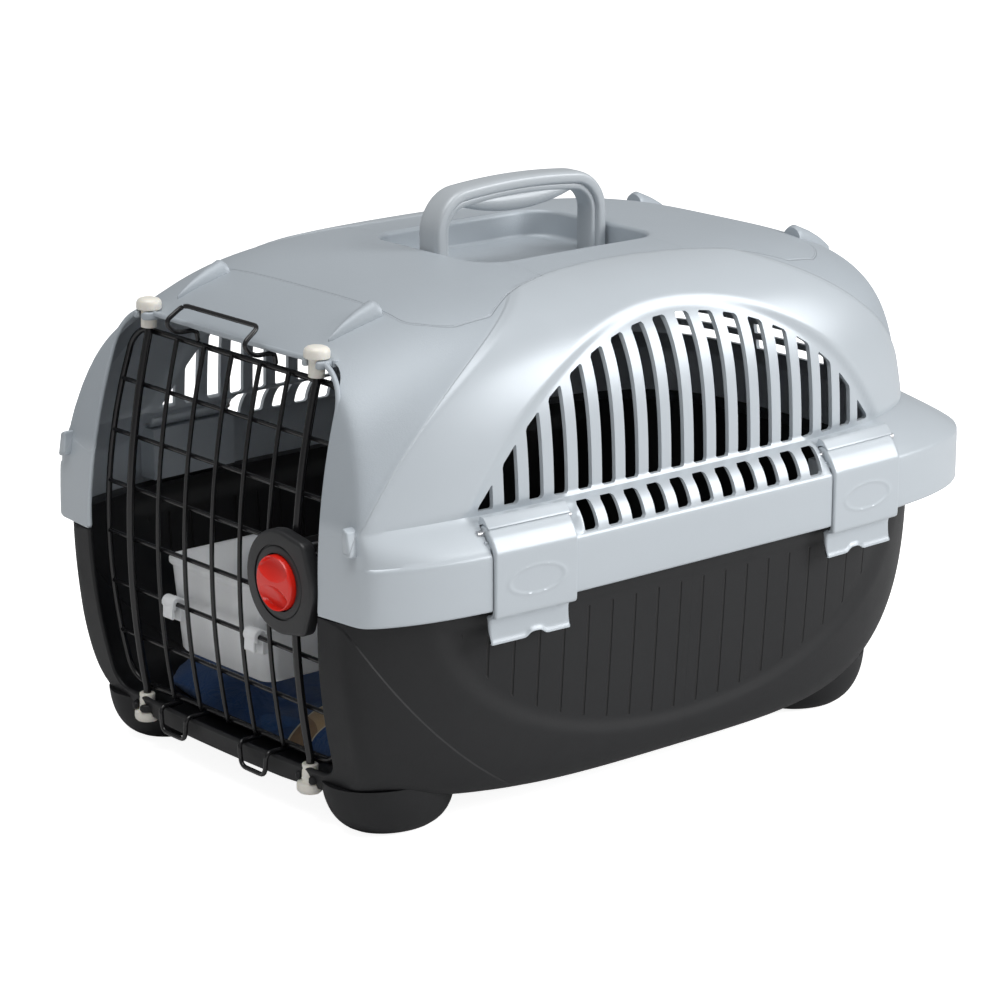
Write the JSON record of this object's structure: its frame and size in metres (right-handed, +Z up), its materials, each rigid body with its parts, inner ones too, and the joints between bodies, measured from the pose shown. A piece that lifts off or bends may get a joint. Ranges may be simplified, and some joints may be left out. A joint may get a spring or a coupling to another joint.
{
  "type": "pet transport carrier",
  "caption": "Hard-sided pet transport cabin with a wire door, knob lock, side clips, roof handle, side vents, hang-on bowl and floor cushion.",
  "frame": {"origin": "centre of the carrier's box at the ground, under its feet", "axes": "+Z up, the wire door faces -Y, +X is the lock side"},
  "size_m": [0.3734, 0.5489, 0.361],
  "materials": {
    "shell_plastic": "fine moulded grain, satin",
    "tray_plastic": "fine moulded grain, matt",
    "clip_plastic": "satin",
    "handle_plastic": "satin",
    "coated_wire": "gloss black coating",
    "bush_plastic": "smooth",
    "lock_plastic": "satin",
    "knob_plastic": "gloss",
    "screw_steel": "zinc plated",
    "bowl_plastic": "milky, translucent",
    "cushion_cotton": "printed cotton, blue with tan and cream patches"
  },
  "bodies": {
    "cabin": {"base_tray": "tray_plastic", "top_shell": "shell_plastic", "carry_handle": "handle_plastic", "clip_pins": "screw_steel", "cushion": "cushion_cotton"},
    "door": {"door_frame": "coated_wire", "door_rows": "coated_wire", "door_uprights": "coated_wire", "pivot_rod_left": "coated_wire", "pivot_rod_right": "coated_wire", "door_top_stop": "coated_wire", "door_bottom_stops": "coated_wire", "bush_top_left": "bush_plastic", "bush_top_right": "bush_plastic", "bush_bottom_left": "bush_plastic", "bush_bottom_right": "bush_plastic", "lock_housing": "lock_plastic", "lock_back": "lock_plastic", "lock_screws": "screw_steel"},
    "knob": {"lock_knob": "knob_plastic"},
    "bolt": {"lock_bolt": "lock_plastic"},
    "food_bowl": {"bowl": "bowl_plastic", "bowl_hooks": "bowl_plastic"},
    "clip_right_front": {"clip_right_front": "clip_plastic"},
    "clip_right_rear": {"clip_right_rear": "clip_plastic"},
    "clip_left_front": {"clip_left_front": "clip_plastic"},
    "clip_left_rear": {"clip_left_rear": "clip_plastic"}
  },
  "joints": [
    {"name": "door_swing", "type": "hinge", "parent": "cabin", "child": "door", "pos_m": [-0.086, -0.23923, 0.2755], "axis": [0, -0.0383, -0.9993], "range_deg": [0, 110]},
    {"name": "knob_turn", "type": "hinge", "parent": "door", "child": "knob", "pos_m": [0.086, -0.25748, 0.159], "axis": [0, 1, 0], "range_deg": [0, 90]},
    {"name": "bolt_slide", "type": "slide", "parent": "door", "child": "bolt", "axis": [1, 0, 0], "range_m": [0, 0.00901]},
    {"name": "bowl_lift", "type": "slide", "parent": "door", "child": "food_bowl", "axis": [0, 0, 1], "range_m": [0, 0.02]},
    {"name": "clip_right_front_swing", "type": "hinge", "parent": "cabin", "child": "clip_right_front", "pos_m": [0.17285, -0.15247, 0.192], "axis": [-0.0419, -0.9991, 0], "range_deg": [0, 75]},
    {"name": "clip_right_rear_swing", "type": "hinge", "parent": "cabin", "child": "clip_right_rear", "pos_m": [0.17285, 0.12652, 0.192], "axis": [0.0419, -0.9991, 0], "range_deg": [0, 75]},
    {"name": "clip_left_front_swing", "type": "hinge", "parent": "cabin", "child": "clip_left_front", "pos_m": [-0.17285, -0.15247, 0.192], "axis": [-0.0419, 0.9991, 0], "range_deg": [0, 75]},
    {"name": "clip_left_rear_swing", "type": "hinge", "parent": "cabin", "child": "clip_left_rear", "pos_m": [-0.17285, 0.12652, 0.192], "axis": [0.0419, 0.9991, 0], "range_deg": [0, 75]}
  ],
  "couplings": [
    {"joint": "bolt_slide", "follows": "knob_turn", "m_per_rad": 0.0057296}
  ]
}
